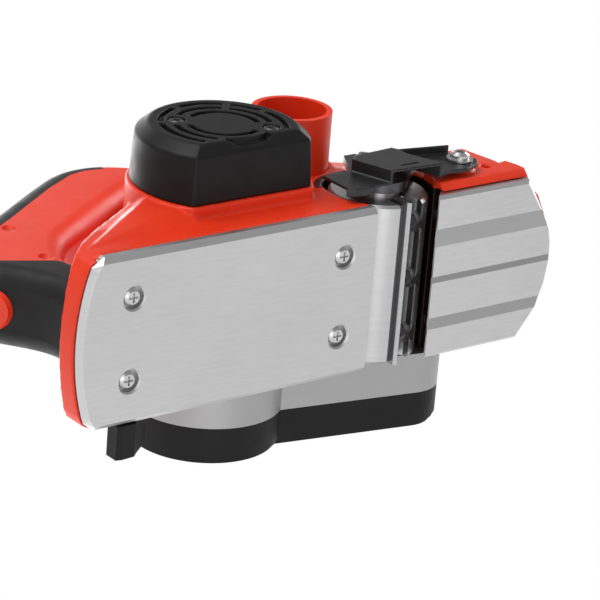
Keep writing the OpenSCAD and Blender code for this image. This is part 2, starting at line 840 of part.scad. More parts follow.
module rear_grip_right() { color(black) from_drum() rear_grip(-30, 0); }
module rear_grip_left() { color(black) from_drum() rear_grip(0.02, 30); }

module cord_inlet() {
    color(red) from_drum() inlet_axis() difference() {
        union() {
            translate([0, 0, -9]) cylinder(r = 8, h = 9.5);
            translate([0, 0, 0.4]) cylinder(r1 = 10, r2 = 8.6, h = 2.6);
        }
        translate([0, 0, -20]) cylinder(r = 3.8, h = 40);
    }
}

// ----------------------------------------------------------------- switch

module at_trigger() {
    translate([trigger_mid[0], 0, trigger_mid[1]]) rotate([0, -arm_angle, 0]) children();
}

module switch_body() {
    color(black) from_drum() at_trigger() block(-17, 17, -7.5, 7.5, 15.5, 25);
}

module trigger() {
    color(black) from_drum() at_trigger() difference() {
        along_y(-7.8, 7.8) polygon([[-18, 2], [-14, -6], [-4, -9.2], [8, -9], [17, -3], [18.5, 2],
            [18.5, 7.5], [-18, 7.5]]);
        block(-3.4, 3.4, -3.4, 3.4, 2, 9);
    }
}

module trigger_spring() {
    color(steel) from_drum() at_trigger() translate([0, 0, 2.05]) difference() {
        cylinder(r = 3, h = 13.3);
        translate([0, 0, -1]) cylinder(r = 2.3, h = 16);
    }
}

module lock_button() {
    color(red) from_drum() union() {
        rod_y(6, 12.4, handle_w / 2 + 0.2 + lock_travel, lock_place[0], lock_place[1]);
        rod_y(7.4, 11.4, 13.4, lock_place[0], lock_place[1]);
    }
}

module lock_spring() {
    color(steel) from_drum() ring_y(3.4, 2.7, 7.6, 11.3, lock_place[0], lock_place[1]);
}

// ----------------------------------------------------------- rabbet guard

module rabbet_guard() {
    top = guard_y + 2 + guard_rise;
    color(black) from_drum() difference() {
        union() {
            // plate round the pivot, recessed below the raised plate
            along_y(-guard_y - 2, -guard_y) polygon([[16.3, 33.2], [16.3, 26], [19.3, 18],
                [23.6, 7.9], [30, 9], [40, 7.5], [50, 12], [53, 17], [51, 24], [46, 30], [28, 33.5]]);
            // raised plate that covers the drum's end
            along_y(-top, -top + guard_t) polygon([[-11, 31], [-7.5, 34], [15.5, 36], [17, 33],
                [17, 26], [20, 18], [24.5, 7.5], [-4, 9.5]]);
            // step down to the pivot's plate
            along_y(-top, -guard_y) polygon([[15.6, 33], [15.6, 26], [18.6, 18], [23, 7.6],
                [24.5, 7.5], [20, 18], [17, 26], [17, 33]]);
            // step down to the foot plate
            along_y(-top, -guard_y + 0.4) polygon([[-11, 31], [-4, 9.5], [-5.4, 9.5], [-12.4, 31]]);
            along_y(-guard_y - 1, -guard_y + 0.4) polygon([[-29, 31], [-29, 12], [-26, 10],
                [-4.7, 9.6], [-11.7, 31]]);
            along_y(-guard_y - 1, -guard_y + 3) polygon([[-28.4, 12.6], [-25.7, 10.8],
                [-15, 10.6], [-15, 8.4], [-26.6, 8.6], [-30, 11.2]]);
            // raised lip along the upper edge
            along_y(-top + 1, -guard_y) polygon([[15, 36], [16, 34.4], [28, 32.1], [45, 28.6],
                [46, 30], [28, 33.5]]);
        }
        rod_y(3.1, -70, -40, pivot_x, pivot_z);
        block(3, 14, -70, -40, 12.4, 14);
    }
}

module guard_screw() {
    color(steel) from_drum() difference() {
        union() {
            rod_y(6.4, -guard_y - 3.3, -guard_y - 2.3, pivot_x, pivot_z);
            cone_y(2.6, 4.6, -guard_y - 6.2, -guard_y - 5, pivot_x, pivot_z);
            rod_y(4.6, -guard_y - 5, -guard_y - 3.3, pivot_x, pivot_z);
            rod_y(3.05, -guard_y - 3, -guard_y + 0.75, pivot_x, pivot_z);
            rod_y(2.45, -guard_y + 0.7, -fence_face + 8.6, pivot_x, pivot_z);
        }
        for (a = [0, 90]) translate([pivot_x, -guard_y - 6.5, pivot_z]) rotate([0, a, 0])
            block(-2.4, 2.4, 0, 1.8, -0.45, 0.45);
    }
}

module guard_spring() {
    color(steel) from_drum() ring_y(6.6, 5.4, -guard_y + 0.15, -guard_y + 0.7, pivot_x, pivot_z);
}

// ----------------------------------------------------------- parking foot

module parking_foot() {
    color(black) from_drum() difference() {
        along_y(side_y + 0.6, 58.5) polygon([[-157, 2.6], [-154, 1.8], [-147, 2.4], [-143, 6],
            [-134, 13], [-134, 20], [-139, 22.5], [-145, 20], [-157, 10]]);
        rod_y(2.55, 30, 70, foot_x, foot_z);
    }
}

module foot_pin() {
    color(steel) from_drum() union() {
        rod_y(2.5, belt_seat + 0.05, 58.8, foot_x, foot_z);
        rod_y(1.95, 34, belt_seat + 0.2, foot_x, foot_z);
        rod_y(4, 58.8, 60, foot_x, foot_z);
    }
}

main_housing();
rear_sole();
sole_screws();
front_shoe();
shoe_guide_posts();
depth_knob();
depth_spindle();
depth_scale_ring();
spindle_spring();
cutter_drum();
drum_shaft();
drum_blades();
blade_backers();
gib_bars();
gib_bolts();
bearing_block_right();
block_screws();
drum_bearing_right();
drum_bearing_left();
drum_pulley();
drive_belt();
motor_pulley();
belt_housing();
belt_housing_screws();
belt_cover();
belt_cover_screws();
motor_stator();
field_coils();
armature_shaft();
armature_core();
commutator();
cooling_fan();
motor_bearing_cap_side();
motor_bearing_belt_side();
brush_holders();
carbon_brushes();
brush_springs();
motor_cap();
motor_cap_screws();
chip_outlet();
handle_shell_right();
handle_shell_left();
handle_screws();
top_grip();
rear_grip_right();
rear_grip_left();
cord_inlet();
switch_body();
trigger();
trigger_spring();
lock_button();
lock_spring();
rabbet_guard();
guard_screw();
guard_spring();
parking_foot();
foot_pin();
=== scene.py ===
"""Looks of the electric hand planer: materials, detailed pieces, light and camera, in metres.

The frame has +Z up from the sole, +X towards the front shoe and +Y towards the belt cover.
"""
import json
import math

import bmesh
import bpy
import numpy as np
from mathutils import Matrix, Vector

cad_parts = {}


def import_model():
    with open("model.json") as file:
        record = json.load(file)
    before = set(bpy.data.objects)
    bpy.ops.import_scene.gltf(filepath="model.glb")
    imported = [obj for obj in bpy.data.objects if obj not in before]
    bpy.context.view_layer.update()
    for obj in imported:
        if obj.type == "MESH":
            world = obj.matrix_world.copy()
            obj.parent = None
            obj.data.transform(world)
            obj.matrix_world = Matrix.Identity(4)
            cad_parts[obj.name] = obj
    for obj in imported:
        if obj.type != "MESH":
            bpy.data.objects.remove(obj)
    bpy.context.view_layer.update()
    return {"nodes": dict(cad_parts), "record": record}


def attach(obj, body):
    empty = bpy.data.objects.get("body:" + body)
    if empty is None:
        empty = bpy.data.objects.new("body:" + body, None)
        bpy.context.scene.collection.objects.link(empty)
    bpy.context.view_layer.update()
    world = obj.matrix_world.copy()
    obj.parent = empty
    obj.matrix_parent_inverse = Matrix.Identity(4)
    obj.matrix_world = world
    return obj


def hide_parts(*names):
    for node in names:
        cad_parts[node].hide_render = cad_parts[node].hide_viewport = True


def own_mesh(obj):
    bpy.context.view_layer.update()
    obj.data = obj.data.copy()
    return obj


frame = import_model()

MM = 0.001
scene = bpy.context.scene
NODES = frame["nodes"]
BODY_OF = {n: b for b, names in frame["record"]["behaviour"]["bodies"].items() for n in names}
SLOT_OF = {s["node"]: s["material_slot"] for s in frame["record"]["subparts"]}


# ------------------------------------------------------------------ materials

class Shader:
    """A material's node tree, with short calls for the nodes that the materials share."""

    def __init__(self, name, rough=0.5, metallic=0.0, **sockets):
        self.mat = bpy.data.materials.new(name)
        self.mat.use_nodes = True
        self.tree = self.mat.node_tree
        self.bsdf = self.tree.nodes["Principled BSDF"]
        self.bsdf.inputs["Roughness"].default_value = rough
        self.bsdf.inputs["Metallic"].default_value = metallic
        for socket, value in sockets.items():
            self.bsdf.inputs[socket.replace("_", " ")].default_value = value
        self.coord = self.tree.nodes.new("ShaderNodeTexCoord").outputs["Object"]

    @classmethod
    def of(cls, mat):
        """The calls for a material that's already made."""
        s = cls.__new__(cls)
        s.mat, s.tree = mat, mat.node_tree
        s.bsdf = s.tree.nodes["Principled BSDF"]
        s.coord = s.tree.nodes.new("ShaderNodeTexCoord").outputs["Object"]
        return s

    def add(self, kind, **props):
        node = self.tree.nodes.new(kind)
        for key, value in props.items():
            setattr(node, key, value)
        return node

    def link(self, out, into):
        self.tree.links.new(out, into)

    def stretched(self, scale):
        """Object coordinates scaled by (x, y, z), so that a noise turns into streaks."""
        node = self.add("ShaderNodeMapping")
        node.inputs["Scale"].default_value = scale
        self.link(self.coord, node.inputs["Vector"])
        return node.outputs["Vector"]

    def noise(self, scale, detail=3.0, vector=None):
        node = self.add("ShaderNodeTexNoise")
        node.inputs["Scale"].default_value = scale
        node.inputs["Detail"].default_value = detail
        self.link(vector or self.coord, node.inputs["Vector"])
        return node.outputs["Fac"]

    def ramp(self, fac, low, high, a=0.35, b=0.65):
        """A colour or grey from low to high as fac goes from a to b."""
        node = self.add("ShaderNodeValToRGB")
        node.color_ramp.elements[0].position = a
        node.color_ramp.elements[1].position = b
        node.color_ramp.elements[0].color = rgba(low)
        node.color_ramp.elements[1].color = rgba(high)
        self.link(fac, node.inputs["Fac"])
        return node.outputs["Color"]

    def maths(self, operation, a, b):
        node = self.add("ShaderNodeMath", operation=operation)
        for value, socket in ((a, node.inputs[0]), (b, node.inputs[1])):
            if isinstance(value, (int, float)):
                socket.default_value = value
            else:
                self.link(value, socket)
        return node.outputs["Value"]

    def bump(self, *layers):
        """Bump from (height, strength, distance in metres) layers, the coarsest first."""
        normal = None
        for height, strength, distance in layers:
            node = self.add("ShaderNodeBump")
            node.inputs["Strength"].default_value = strength
            node.inputs["Distance"].default_value = distance
            self.link(height, node.inputs["Height"])
            if normal:
                self.link(normal, node.inputs["Normal"])
            normal = node.outputs["Normal"]
        self.link(normal, self.bsdf.inputs["Normal"])


def rgba(value):
    if isinstance(value, (int, float)):
        value = (value, value, value)
    return (*value[:3], 1.0)


def moulded_plastic(name, colour, rough, grain=1400, depth=0.00002, spread=0.06, **sockets):
    """Moulded plastic: fine spark-eroded grain, faint flow marks, uneven gloss."""
    s = Shader(name, rough=rough, **sockets)
    low = [c * (1 - spread) for c in colour]
    high = [min(1.0, c * (1 + spread)) for c in colour]
    s.link(s.ramp(s.noise(22, 2), low, high), s.bsdf.inputs["Base Color"])
    fine = s.noise(grain, 2)
    s.link(s.ramp(s.noise(90, 4), rough - 0.05, rough + 0.06), s.bsdf.inputs["Roughness"])
    s.bump((s.noise(60, 2), 0.08, 0.0002), (fine, 0.35, depth))
    return s.mat


def brushed_metal(name, colour, rough, streaks, depth=0.000012, spread=0.05, mottle=40):
    """Metal with a lay of fine streaks, which run where the scale in streaks is small."""
    s = Shader(name, rough=rough, metallic=1.0)
    lay = s.noise(1.0, 4, s.stretched(streaks))
    patches = s.noise(mottle, 5)
    low = [c * (1 - spread) for c in colour]
    high = [min(1.0, c * (1 + spread)) for c in colour]
    mixed = s.maths("ADD", s.maths("MULTIPLY", lay, 0.6), s.maths("MULTIPLY", patches, 0.4))
    s.link(s.ramp(mixed, low, high), s.bsdf.inputs["Base Color"])
    s.link(s.ramp(mixed, rough + 0.06, rough - 0.05), s.bsdf.inputs["Roughness"])
    s.bump((patches, 0.1, 0.00002), (lay, 0.5, depth))
    return s.mat


def cast_metal(name, colour, rough, grain=900, metallic=1.0, depth=0.00003, spread=0.05):
    """Die-cast or powder-coated metal: a fine even orange-peel."""
    s = Shader(name, rough=rough, metallic=metallic)
    patches = s.noise(30, 4)
    low = [c * (1 - spread) for c in colour]
    high = [min(1.0, c * (1 + spread)) for c in colour]
    s.link(s.ramp(patches, low, high), s.bsdf.inputs["Base Color"])
    s.link(s.ramp(s.noise(180, 3), rough - spread, rough + spread), s.bsdf.inputs["Roughness"])
    s.bump((s.noise(grain, 3), 0.35, depth))
    return s.mat


def wound_copper():
    """Enamelled winding wire, as close rows of turns."""
    s = Shader("copper", rough=0.32, metallic=1.0, Coat_Weight=0.4)
    wave = s.add("ShaderNodeTexWave", bands_direction="Z")
    wave.inputs["Scale"].default_value = 500
    s.link(s.coord, wave.inputs["Vector"])
    colour = s.ramp(wave.outputs["Fac"], (0.30, 0.10, 0.04), (0.72, 0.34, 0.17))
    s.link(colour, s.bsdf.inputs["Base Color"])
    s.bump((wave.outputs["Fac"], 0.6, 0.0002))
    return s.mat


def ribbed_rubber():
    """Belt rubber with ribs that run along the belt."""
    s = Shader("belt_rubber", rough=0.6)
    wave = s.add("ShaderNodeTexWave", bands_direction="Y")
    wave.inputs["Scale"].default_value = 130
    s.link(s.coord, wave.inputs["Vector"])
    s.link(s.ramp(wave.outputs["Fac"], 0.008, 0.035), s.bsdf.inputs["Base Color"])
    s.bump((wave.outputs["Fac"], 0.8, 0.0006), (s.noise(1500, 2), 0.3, 0.00003))
    return s.mat


CHAMBER_X, CHAMBER_Z = 0.095, 0.0245  # the drum's axis
CHAMBER_R, CHAMBER_HALF = 0.0305, 0.0409  # the chamber's radius and half its width
# near-black painted shade for the walls inside the drum's chamber
CHAMBER_PAINTED_SHADE = (0.012, 0.006, 0.005)


def body_plastic(name, colour, rough):
    """The body's plastic, with painted shade that turns it near black inside the drum's chamber."""
    mat = moulded_plastic(name, colour, rough, spread=0.035, Specular_IOR_Level=0.35)
    s = Shader.of(mat)
    split = s.add("ShaderNodeSeparateXYZ")
    s.link(s.coord, split.inputs[0])
    along = s.maths("SUBTRACT", split.outputs["X"], CHAMBER_X)
    above = s.maths("SUBTRACT", split.outputs["Z"], CHAMBER_Z)
    squares = s.maths("ADD", s.maths("MULTIPLY", along, along), s.maths("MULTIPLY", above, above))
    near = s.maths("LESS_THAN", squares, CHAMBER_R ** 2)
    across = s.maths("LESS_THAN", s.maths("ABSOLUTE", split.outputs["Y"], 0), CHAMBER_HALF)
    mix = s.add("ShaderNodeMix", data_type="RGBA")
    base = s.bsdf.inputs["Base Color"]
    # painted shade: faces within the chamber's radius of the drum's axis and within its width turn
    # near black
    s.link(s.maths("MULTIPLY", near, across), mix.inputs["Factor"])
    s.link(base.links[0].from_socket, mix.inputs["A"])
    mix.inputs["B"].default_value = rgba(CHAMBER_PAINTED_SHADE)
    s.link(mix.outputs["Result"], base)
    return mat


RED = (0.78, 0.036, 0.007)
MATERIALS = {
    "red_plastic": body_plastic("red_plastic", RED, 0.4),
    "red_button": moulded_plastic("red_button", (0.78, 0.04, 0.012), 0.3),
    "black_plastic": moulded_plastic("black_plastic", (0.006, 0.006, 0.0063), 0.5, grain=1100,
                                     depth=0.00005, Specular_IOR_Level=0.24),
    "soft_grip": moulded_plastic("soft_grip", (0.009, 0.009, 0.0095), 0.62, grain=1900,
                                 depth=0.00004, Specular_IOR_Level=0.35),
    "sole_aluminium": brushed_metal("sole_aluminium", (0.62, 0.62, 0.625), 0.42, (60, 900, 60),
                                    spread=0.03, mottle=12),
    "cast_silver": cast_metal("cast_silver", (0.43, 0.43, 0.435), 0.5, spread=0.012),
    "machined_steel": brushed_metal("machined_steel", (0.56, 0.56, 0.565), 0.34, (30, 900, 30),
                                    depth=0.000003, spread=0.035, mottle=12),
    "dark_steel": cast_metal("dark_steel", (0.11, 0.11, 0.115), 0.38, depth=0.00002),
    "zinc_steel": brushed_metal("zinc_steel", (0.62, 0.62, 0.62), 0.28, (500, 500, 500),
                                depth=0.000003),
    "black_painted_steel": cast_metal("black_painted_steel", (0.014, 0.014, 0.015), 0.36,
                                      metallic=0.0, depth=0.00001, spread=0.02),
    "belt_rubber": ribbed_rubber(),
    "copper": wound_copper(),
    "brass": brushed_metal("brass", (0.72, 0.52, 0.22), 0.28, (400, 400, 60)),
    "carbon": cast_metal("carbon", (0.05, 0.05, 0.052), 0.55, metallic=0.0),
}


def paint(obj, material):
    obj.data.materials.clear()
    obj.data.materials.append(material)
    for face in obj.data.polygons:
        face.material_index = 0


# ------------------------------------------------------------- CAD nodes kept

EDGE = {  # radius of the rounded edges, in mm
    "belt_housing": 0.6, "belt_cover": 0.9, "chip_outlet": 0.7, "trigger": 1.2,
    "lock_button": 0.8, "parking_foot": 0.7, "rear_sole": 0.12, "front_shoe": 0.12,
    "cutter_drum": 0.2, "bearing_block_right": 0.4, "cord_inlet": 0.6, "gib_bars": 0.25,
    "sole_screws": 0.4, "guard_screw": 0.4, "motor_cap_screws": 0.35, "handle_screws": 0.35,
    "block_screws": 0.35, "belt_cover_screws": 0.35, "depth_knob": 0.5,
}
SOFT = {  # voxel of the even mesh in mm, and rounds of relaxing it
    "main_housing": (0.8, 4), "rabbet_guard": (0.28, 8),
}


def round_edges(obj, radius):
    """Merges coplanar facets and rounds the corners between the faces that are left."""
    planar = obj.modifiers.new("planar", "DECIMATE")
    planar.decimate_type = "DISSOLVE"
    planar.angle_limit = math.radians(0.6)
    bevel = obj.modifiers.new("edges", "BEVEL")
    bevel.width = radius * MM
    bevel.segments = 3
    bevel.limit_method = "ANGLE"
    bevel.angle_limit = math.radians(24)
    bevel.use_clamp_overlap = False
    bevel.harden_normals = False
    weighted = obj.modifiers.new("normals", "WEIGHTED_NORMAL")
    weighted.keep_sharp = True


def relax(obj, rounds):
    """Evens out obj's surface by moving each vertex towards its neighbours, again and again."""
    smooth = obj.modifiers.new("relax", "SMOOTH")
    smooth.factor = 0.5
    smooth.iterations = rounds


def soften(obj, voxel, rounds):
    """Gives obj an even mesh and relaxes it, so that all its corners turn soft."""
    even = obj.modifiers.new("even", "REMESH")
    even.mode = "VOXEL"
    even.voxel_size = voxel * MM
    even.use_smooth_shade = True
    relax(obj, rounds)


def forget_normals(obj):
    """Drops the imported shading normals, so that the modifiers' own are used."""
    if "custom_normal" in obj.data.attributes:
        obj.data.attributes.remove(obj.data.attributes["custom_normal"])


for name, node in NODES.items():
    paint(node, MATERIALS[SLOT_OF[name]])
    if name in EDGE:
        forget_normals(node)
        round_edges(node, EDGE[name])
    if name in SOFT:
        forget_normals(node)
        soften(node, *SOFT[name])


# ------------------------------------------------------------ detailed pieces

DRUM_X = 95  # the drum's axis, from which outlines are drawn, in mm


def piece(name, mesh, *stands_for):
    """Puts mesh on show in place of CAD nodes, on their body and with their material."""
    obj = bpy.data.objects.new(name, mesh)
    scene.collection.objects.link(obj)
    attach(obj, BODY_OF[stands_for[0]])
    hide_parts(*stands_for)
    paint(obj, MATERIALS[SLOT_OF[stands_for[0]]])
    return obj


def solid(name, verts, faces):
    """A closed mesh from points in mm, its faces turned outwards."""
    mesh = bpy.data.meshes.new(name)
    mesh.from_pydata([tuple(c * MM for c in v) for v in verts], [], faces)
    shape = bmesh.new()
    shape.from_mesh(mesh)
    bmesh.ops.recalc_face_normals(shape, faces=shape.faces)
    shape.to_mesh(mesh)
    shape.free()
    return mesh


def prism(name, outline, y0, y1):
    """An outline in X and Z, drawn from the drum's axis, as a solid from y0 to y1."""
    n = len(outline)
    verts = [(x + DRUM_X, y, z) for y in (y0, y1) for x, z in outline]
    faces = [list(range(n)), list(range(2 * n - 1, n - 1, -1))]
    faces += [(i, i + n, (i + 1) % n + n, (i + 1) % n) for i in range(n)]
    return solid(name, verts, faces)


def baked(mesh, change):
    """The mesh that comes of the modifiers that change() puts on mesh."""
    obj = bpy.data.objects.new("work", mesh)
    scene.collection.objects.link(obj)
    change(obj)
    bpy.context.view_layer.update()
    seen = obj.evaluated_get(bpy.context.evaluated_depsgraph_get())
    made = bpy.data.meshes.new_from_object(seen)
    bpy.data.objects.remove(obj)
    return made


def carved(mesh, cutters):
    """mesh less the solids in the list cutters."""
    holders = [bpy.data.objects.new("cutter", c) for c in cutters]
    for holder in holders:
        scene.collection.objects.link(holder)

    def cut(obj):
        for holder in holders:
            modifier = obj.modifiers.new("cut", "BOOLEAN")
            modifier.operation = "DIFFERENCE"
            modifier.solver = "EXACT"
            modifier.object = holder

    made = baked(mesh, cut)
    for holder in holders:
        bpy.data.objects.remove(holder)
    return made


def curved(outline, rounds=2):
    """The closed outline with its corners cut again and again, which makes it flow."""
    for _ in range(rounds):
        after = outline[1:] + outline[:1]
        outline = [
            (a[0] + (b[0] - a[0]) * t, a[1] + (b[1] - a[1]) * t)
            for a, b in zip(outline, after)
            for t in (0.25, 0.75)
        ]
    return outline


def edge_distance(points, outline):
    """Distance of each (x, z) point from the closed outline."""
    best = np.full(len(points), np.inf)
    for a, b in zip(np.array(outline), np.array(outline[1:] + outline[:1])):
        along = b - a
        t = np.clip((points - a) @ along / (along @ along), 0, 1)
        best = np.minimum(best, np.linalg.norm(points - a - t[:, None] * along, axis=1))
    return best


def rounded_prism(name, outline, half, radius, voxel=0.9, rounds=5):
    """A prism over the outline whose rims curve over to its sides with a wide radius."""
    mesh = baked(prism(name, outline, -half, half), lambda o: soften(o, voxel, 1))
    co = np.empty(len(mesh.vertices) * 3)
    mesh.vertices.foreach_get("co", co)
    co = co.reshape(-1, 3) / MM
    inner = np.clip(edge_distance(co[:, (0, 2)] - (DRUM_X, 0), outline), 0, radius)
    reach = half - radius + np.sqrt(radius**2 - (radius - inner) ** 2)
    co[:, 1] = np.clip(co[:, 1], -reach, reach)
    mesh.vertices.foreach_set("co", (co * MM).ravel())
    return baked(mesh, lambda o: relax(o, rounds))


def inside(x, z, outline):
    """Whether (x, z) lies within the closed outline."""
    hit = False
    for (ax, az), (bx, bz) in zip(outline, outline[1:] + outline[:1]):
        if (az > z) != (bz > z) and x < ax + (z - az) * (bx - ax) / (bz - az):
            hit = not hit
    return hit


def parted(mesh, lines, pick):
    """Cuts mesh along lines in X and Z and at Y 0, and deals its faces out by pick(x, y, z)."""
    whole = bmesh.new()
    whole.from_mesh(mesh)
    cuts = [((0, 0, 0), (0, 1, 0))]
    for (ax, az), (bx, bz) in lines:
        cuts.append((((ax + DRUM_X) * MM, 0, az * MM), (bz - az, 0, ax - bx)))
    for place, normal in cuts:
        everything = whole.verts[:] + whole.edges[:] + whole.faces[:]
        bmesh.ops.bisect_plane(whole, geom=everything, plane_co=place, plane_no=normal)
    whole.faces.index_update()
    parts = {}
    for face in whole.faces:
        x, y, z = face.calc_center_median() / MM
        parts.setdefault(pick(x - DRUM_X, y, z), set()).add(face.index)
    made = {}
    for key in sorted(parts):
        part = whole.copy()
        part.faces.index_update()
        spare = [f for f in part.faces if f.index not in parts[key]]
        bmesh.ops.delete(part, geom=spare, context="FACES")
        for face in part.faces:
            face.smooth = True
        made[key] = bpy.data.meshes.new(key)
        part.to_mesh(made[key])
        part.free()
    whole.free()
    return made


def plug(name, radius, y0, y1, x, z, sides=32):
    """A round cutter along Y at (x, z) from the drum's axis."""
    turn = [math.tau * i / sides for i in range(sides)]
    return prism(name, [(x + radius * math.cos(a), z + radius * math.sin(a)) for a in turn], y0, y1)


# Side view of the handle and the rear grip together
HANDLE = [(4, 90), (4, 97), (-6, 112), (-30, 136), (-56, 156), (-72, 163.5), (-92, 162), (-112, 150),
          (-150, 123), (-186, 99), (-205, 87), (-210, 81), (-204, 77), (-195, 65.5), (-184, 53),
          (-174, 38), (-173.5, 24), (-175, 17.4), (-145, 38), (-147, 46), (-150.5, 53), (-149.5, 60),
          (-146, 68), (-139, 78), (-130, 86), (-62, 131), (-50, 131), (-43, 124), (-43, 110),
          (-50, 103), (-62, 97), (-62, 90)]
# Lower edge of the soft band on the arm, and upper edge of the soft rear grip
BAND = [(-66, 168), (-69, 151), (-80, 152.6), (-89.5, 150.2), (-109.3, 138.3), (-147.3, 111.3),
        (-183.3, 87.3), (-199, 79.5), (-212, 79)]
GRIP = [(-212, 80.6), (-203, 76.8), (-181, 66.2), (-152, 52.3), (-140, 44)]
HANDLE_HALF = 19.3  # half the handle's width
HANDLE_ROUND = 9  # radius of its rounded rims
RECESS_R = 3.6  # radius of the wells of its screws
RECESS_CUT = (-20, -15.4)  # Y range of the cutters for those wells
HANDLE_SCREWS = [(-28, 122), (-58, 143), (-156, 100), (-160, 62)]


def handle():
    """The tube-like handle, dealt out to its two shells, its top band and the rear grips."""
    whole = rounded_prism("handle", curved(HANDLE), HANDLE_HALF, HANDLE_ROUND)
    wells = [plug("recess", RECESS_R, *RECESS_CUT, x, z) for x, z in HANDLE_SCREWS]
    whole = carved(whole, wells)
    above = BAND + [(-212, 168)]
    below = GRIP + [(-140, 0), (-212, 0)]

    def pick(x, y, z):
        side = "right" if y < 0 else "left"
        if inside(x, z, above):
            return "top_grip"
        return ("rear_grip_" if inside(x, z, below) else "handle_shell_") + side

    lines = list(zip(BAND, BAND[1:])) + list(zip(GRIP, GRIP[1:]))
    for node, mesh in parted(whole, lines, pick).items():
        piece(node + "_look", mesh, node)


def flatted(radius, flat, sides=144):
    """A circle cut straight at flat below its centre, as (x, z) points."""
    turn = [math.tau * i / sides for i in range(sides)]
    return [(radius * math.cos(a), max(-flat, radius * math.sin(a))) for a in turn]


def loft(name, rings):
    """A solid through rings of points, closed at both ends."""
    n = len(rings[0])
    verts = [v for ring in rings for v in ring]
    faces = [list(range(n)), list(range(len(verts) - n, len(verts)))]
    for k in range(len(rings) - 1):
        faces += [(k * n + i, k * n + (i + 1) % n, (k + 1) * n + (i + 1) % n, (k + 1) * n + i)
                  for i in range(n)]
    return solid(name, verts, faces)


MOTOR = (20, 49)  # the motor's axis in X and Z, in mm
# Y, radius and depth of the flat of each ring from the cap's rim to its face
CAP = [(-47.6, 42, 26), (-60, 41.3, 25.5), (-69.6, 40.6, 25), (-70.5, 40.1, 24.6),
       (-74.5, 35.2, 21.2), (-75, 34, 20.4)]
CAP_CUT = (-76, -72)  # Y range of the cutters that carve its face
SLOT_WIDTH = 3
WELL_R = 4.3
WELLS = [(-17, 13.5), (17, -13.5)]  # the cap's screws in X and Z from the motor's axis
SLOTS = [  # radius of each ring of slots, and where its slots run, in degrees
    (16.5, [(-20, 120), (163, 300)]),
    (22.6, [(-19, 48), (56, 123), (161, 228), (236, 302)]),
    (28.8, [(-38, 12), (18, 48), (55, 100), (107, 150), (156, 218)]),
]


def ring_slot(radius, width, a0, a1):
    """A cutter for a slot that runs round the motor's axis from angle a0 to a1."""
    steps = 1 + int((a1 - a0) / 4)
    turn = [math.radians(a0 + (a1 - a0) * i / steps) for i in range(steps + 1)]
    rim = [(r, a) for r, order in ((radius - width / 2, turn), (radius + width / 2, turn[::-1]))
           for a in order]
    outline = [(MOTOR[0] - DRUM_X + r * math.cos(a), MOTOR[1] + r * math.sin(a)) for r, a in rim]
    return prism("slot", outline, *CAP_CUT)


def motor_cap():
    """The motor's cap: a tapered form with a soft rim, rings of slots and two screw wells."""
    rings = [[(MOTOR[0] + x, y, MOTOR[1] + z) for x, z in flatted(radius, flat)]
             for y, radius, flat in CAP]
    cutters = [ring_slot(radius, SLOT_WIDTH, a0, a1) for radius, spans in SLOTS for a0, a1 in spans]
    for x, z in WELLS:
        cutters.append(plug("well", WELL_R, *CAP_CUT, MOTOR[0] - DRUM_X + x, MOTOR[1] + z))
    obj = piece("motor_cap_look", carved(loft("motor_cap_look", rings), cutters), "motor_cap")
    soften(obj, 0.5, 2)


ARM_SLOPE = math.radians(33)
TRIGGER = Vector((DRUM_X - 88, 0, 114))  # the trigger's middle


def coil(name, fixed, free, radius, wire, turns):
    """A wire of that radius wound round the line from fixed to free, all in mm."""
    line = Vector(free) - Vector(fixed)
    side = line.orthogonal().normalized()
    other = line.normalized().cross(side)
    inset = wire * 1.2 / line.length
    steps = turns * 20
    round_wire = [math.tau * k / 8 for k in range(8)]
    rings = []
    for i in range(steps + 1):
        a = math.tau * turns * i / steps
        out = side * math.cos(a) + other * math.sin(a)
        middle = Vector(fixed) + line * (inset + (1 - 2 * inset) * i / steps) + out * radius
        rings.append([tuple(middle + (out * math.cos(b) + line.normalized() * math.sin(b)) * wire)
                      for b in round_wire])
    return loft(name, rings)


def springs():
    """The three coil springs, each wound from its fixed end to its free end."""
    press = Vector((-math.sin(ARM_SLOPE), 0, math.cos(ARM_SLOPE)))
    trigger_top, trigger_foot = TRIGGER + press * 15.3, TRIGGER + press * 2.1
    # node, joint, fixed end, free end, radius, wire's radius, turns, share of length kept
    order = [
        ("spindle_spring", "shoe_slide", (147, 0, 33.6), (147, 0, 22), 7.1, 0.7, 4, 0.76),
        ("trigger_spring", "trigger_pull", trigger_top, trigger_foot, 2.65, 0.3, 8, 0.52),
        ("lock_spring", "lock_press", (-21, 7.6, 124), (-21, 11.3, 124), 3.05, 0.25, 2, 0.16),
    ]
    for node, joint, fixed, free, radius, wire, turns, keep in order:
        mesh = coil(node + "_look", fixed, free, radius, wire, turns)
        obj = piece(node + "_look", mesh, node)
        line = Vector(free) - Vector(fixed)
        tuple(Vector(fixed) * MM)
        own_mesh(obj)


handle()
motor_cap()
springs()


# --------------------------------------------------------------- stage, light

FLOOR_HALF = 3.0
FLOOR_FADE = (0.3, 0.8)  # distances from the middle at which the floor starts and ends to fade


